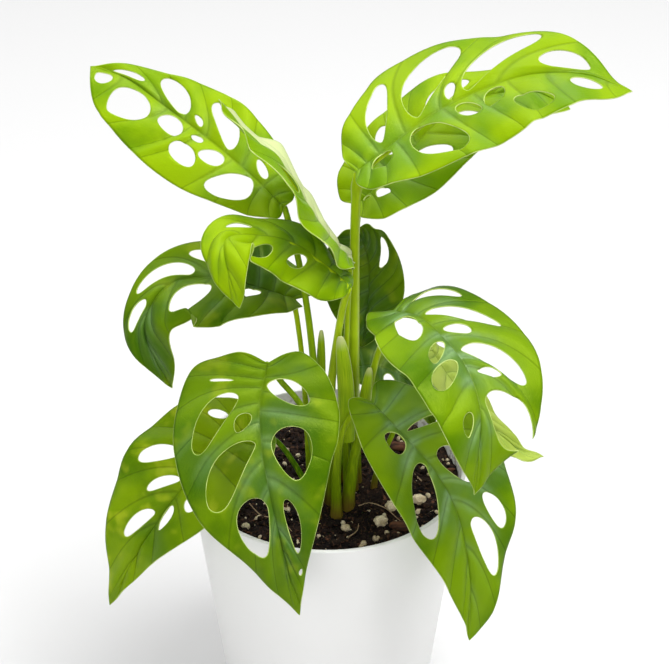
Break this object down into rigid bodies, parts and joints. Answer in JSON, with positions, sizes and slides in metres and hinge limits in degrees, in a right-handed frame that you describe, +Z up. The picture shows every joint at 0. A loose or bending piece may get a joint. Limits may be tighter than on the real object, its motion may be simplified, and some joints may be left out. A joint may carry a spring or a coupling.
{
  "type": "potted monstera plant",
  "caption": "Swiss cheese vine with thin arching leaves pierced by oval holes, on slender stalks rising from dark soil in a plain white tapered round pot.",
  "frame": {"origin": "centre of the pot's flat base, on the surface it stands on", "axes": "+Z up, -Y the pot's front, the side the leaves face, +X to the right seen from the front"},
  "size_m": [0.224, 0.1554, 0.3416],
  "materials": {
    "pot": "smooth white satin plastic",
    "soil": "dark moist crumbly peat potting mix, matte",
    "perlite": "porous cream perlite lumps, matte",
    "bark": "rough reddish brown bark chips",
    "stalk": "smooth yellow-green fleshy stalk, satin",
    "leaf": "thin green leaf blade, waxy satin upper side",
    "leaf_pale": "thin pale yellow-green leaf blade, satin"
  },
  "bodies": {
    "root": {"pot": "pot", "soil": "soil", "perlite_1": "perlite", "perlite_2": "perlite", "perlite_3": "perlite", "perlite_4": "perlite", "perlite_5": "perlite", "perlite_6": "perlite", "bark_1": "bark", "bark_2": "bark", "bark_3": "bark", "sheath_broad": "stalk", "sheath_right": "stalk", "sheath_left": "stalk", "stalk_upper_left": "stalk", "leaf_upper_left": "leaf", "stalk_mid_left": "stalk", "leaf_mid_left": "leaf", "stalk_front_left": "stalk", "leaf_front_left": "leaf", "stalk_low_left": "stalk", "leaf_low_left": "leaf", "stalk_front_right": "stalk", "leaf_front_right": "leaf", "stalk_mid_right": "stalk", "leaf_mid_right": "leaf", "stalk_back_centre": "stalk", "leaf_back_centre": "leaf", "stalk_top_right": "stalk", "leaf_top_right": "leaf", "stalk_top_right_under": "stalk", "leaf_top_right_under": "leaf", "stalk_edge_on": "stalk", "leaf_edge_on": "leaf", "stalk_curled": "stalk", "leaf_curled": "leaf", "stalk_pale_small": "stalk", "leaf_pale_small": "leaf_pale", "stalk_low_back": "stalk", "leaf_low_back": "leaf"}
  },
  "joints": []
}
